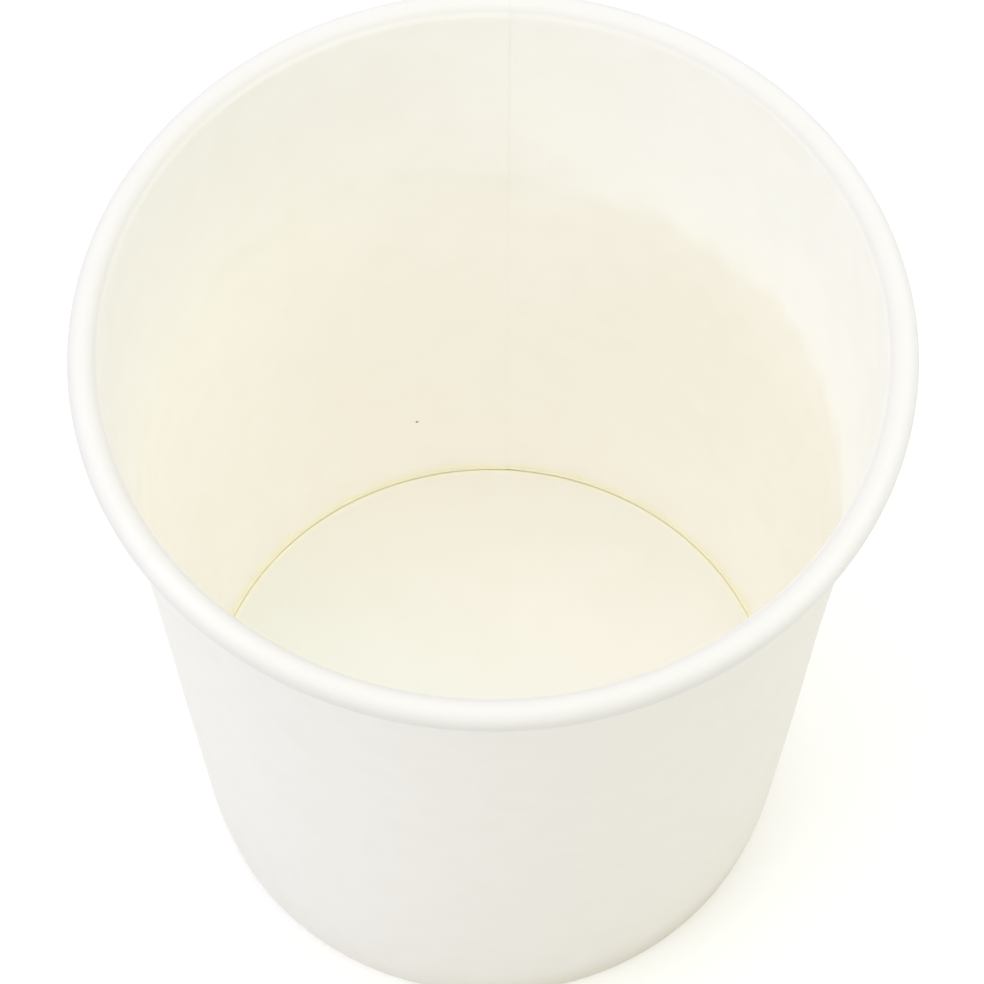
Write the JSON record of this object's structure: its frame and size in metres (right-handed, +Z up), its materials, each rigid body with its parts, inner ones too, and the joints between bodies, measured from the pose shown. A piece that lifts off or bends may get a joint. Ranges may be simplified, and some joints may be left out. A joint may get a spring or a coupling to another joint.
{
  "type": "paper coffee cup",
  "caption": "Small single-wall paper cup with a tapered side, a rolled rim, a lapped side joint and a recessed base, open at the top.",
  "frame": {"origin": "centre of the foot, on the surface that the cup stands on", "axes": "+Z up along the cup's axis, out of its mouth; the lap of the side wall is at the back, on the +Y side"},
  "size_m": [0.062, 0.062, 0.063],
  "materials": {
    "wall_paper": "matt outside, thin smooth coating inside",
    "base_paper": "thin smooth coating on the upper face"
  },
  "bodies": {
    "root": {"side_wall": "wall_paper", "base_disc": "base_paper"}
  },
  "joints": []
}
